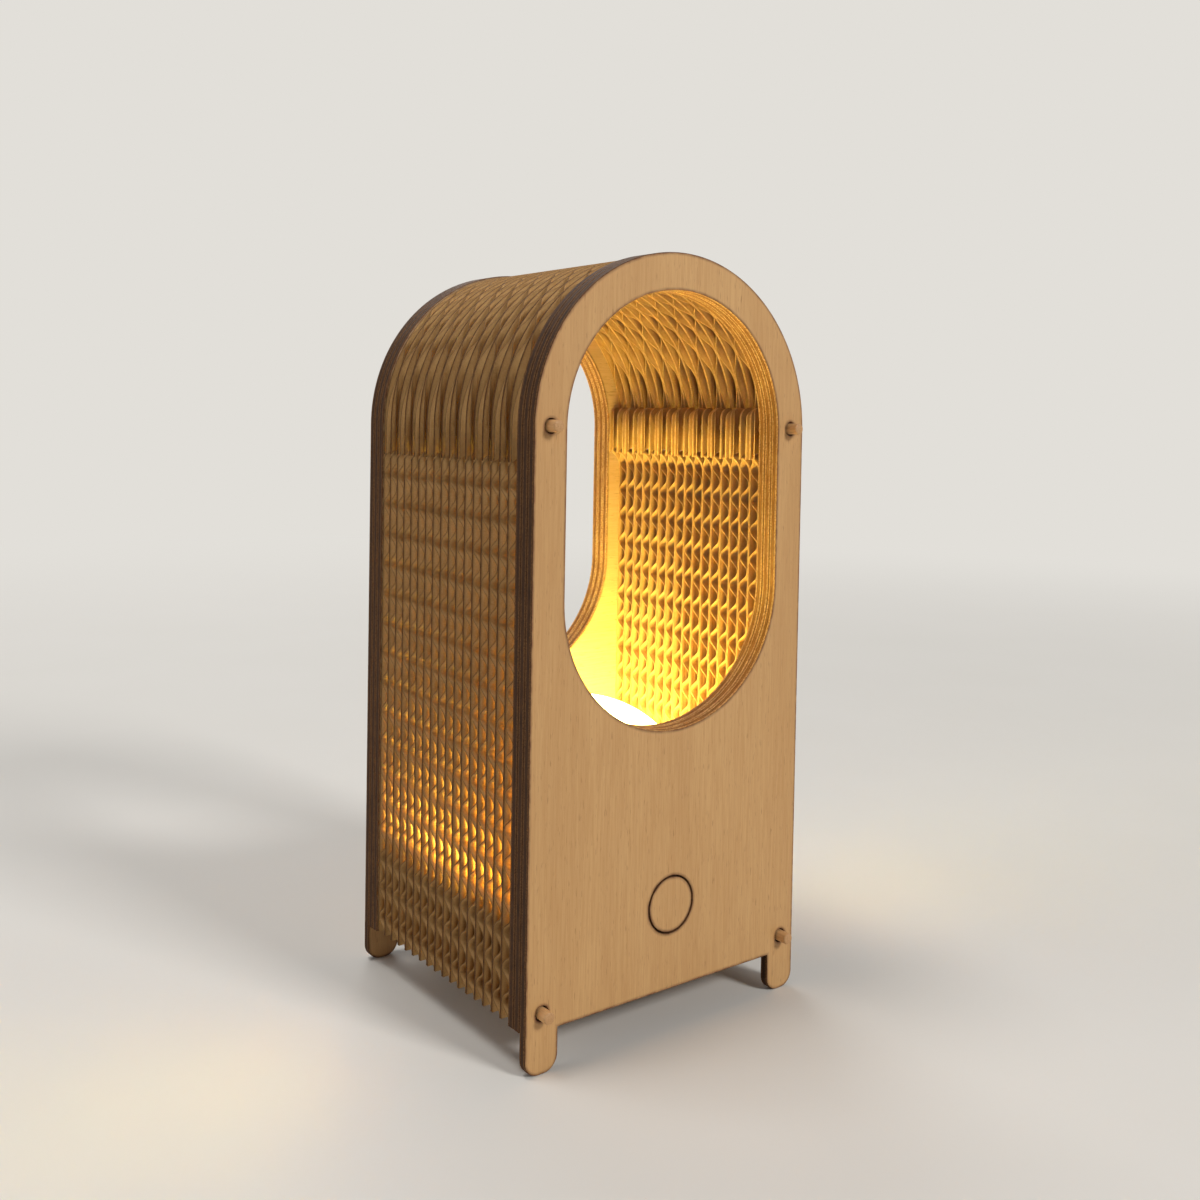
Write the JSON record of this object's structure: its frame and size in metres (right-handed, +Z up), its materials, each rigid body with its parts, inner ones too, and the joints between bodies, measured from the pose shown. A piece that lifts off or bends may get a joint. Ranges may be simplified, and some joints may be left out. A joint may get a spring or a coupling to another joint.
{
  "type": "rechargeable lamp",
  "caption": "Arched table lamp of stacked corrugated boards between plywood faces, with a tall round-ended window, a domed diffuser inside and a round push button.",
  "frame": {"origin": "on the ground, under the middle of the lamp's box", "axes": "+X across the lamp to the right seen from the front, +Y from the button face to the back, +Z up"},
  "size_m": [0.09, 0.0896, 0.2],
  "materials": {
    "plywood": "bare laser-cut plywood with scorched edges",
    "cardboard": "kraft corrugated board, cut edges showing",
    "dowel_wood": "bare turned dowel",
    "diffuser": "opal, lit from inside",
    "white_plastic": "satin",
    "dark_plastic": "fine texture",
    "circuit_board": "solder mask",
    "cell_foil": "laminated foil pouch",
    "port_steel": "plated",
    "lead_insulation": "soft insulation"
  },
  "bodies": {
    "housing": {"front_plate": "plywood", "front_frame_middle": "plywood", "front_frame_inner": "plywood", "back_plate": "plywood", "back_frame_middle": "plywood", "back_frame_inner": "plywood", "u_layer_01": "cardboard", "u_layer_02": "cardboard", "u_layer_03": "cardboard", "u_layer_04": "cardboard", "u_layer_05": "cardboard", "u_layer_06": "cardboard", "u_layer_07": "cardboard", "u_layer_08": "cardboard", "u_layer_09": "cardboard", "u_layer_10": "cardboard", "u_layer_11": "cardboard", "u_layer_12": "cardboard", "u_layer_13": "cardboard", "u_layer_14": "cardboard", "u_layer_15": "cardboard", "u_layer_16": "cardboard", "u_layer_17": "cardboard", "arch_layer_01": "cardboard", "arch_layer_02": "cardboard", "arch_layer_03": "cardboard", "arch_layer_04": "cardboard", "arch_layer_05": "cardboard", "arch_layer_06": "cardboard", "arch_layer_07": "cardboard", "arch_layer_08": "cardboard", "arch_layer_09": "cardboard", "arch_layer_10": "cardboard", "arch_layer_11": "cardboard", "arch_layer_12": "cardboard", "arch_layer_13": "cardboard", "arch_layer_14": "cardboard", "arch_layer_15": "cardboard", "arch_layer_16": "cardboard", "arch_layer_17": "cardboard", "dowel_upper_left": "dowel_wood", "dowel_upper_right": "dowel_wood", "dowel_lower_left": "dowel_wood", "dowel_lower_right": "dowel_wood", "switch_body": "dark_plastic", "switch_board": "circuit_board", "electronics_tray": "dark_plastic", "shelf_lid": "white_plastic", "dome_collar": "white_plastic", "diffuser_dome": "diffuser", "led_board": "white_plastic", "battery_cell": "cell_foil", "control_board": "circuit_board", "usb_port": "port_steel", "led_lead": "lead_insulation", "battery_lead": "lead_insulation", "switch_lead": "lead_insulation"},
    "button": {"button_disc": "plywood", "button_stem": "white_plastic", "switch_plunger": "dark_plastic"}
  },
  "joints": [
    {"name": "button_press", "type": "slide", "parent": "housing", "child": "button", "axis": [0, 1, 0], "range_m": [0, 0.001], "stiffness_N_per_m": 1500}
  ]
}
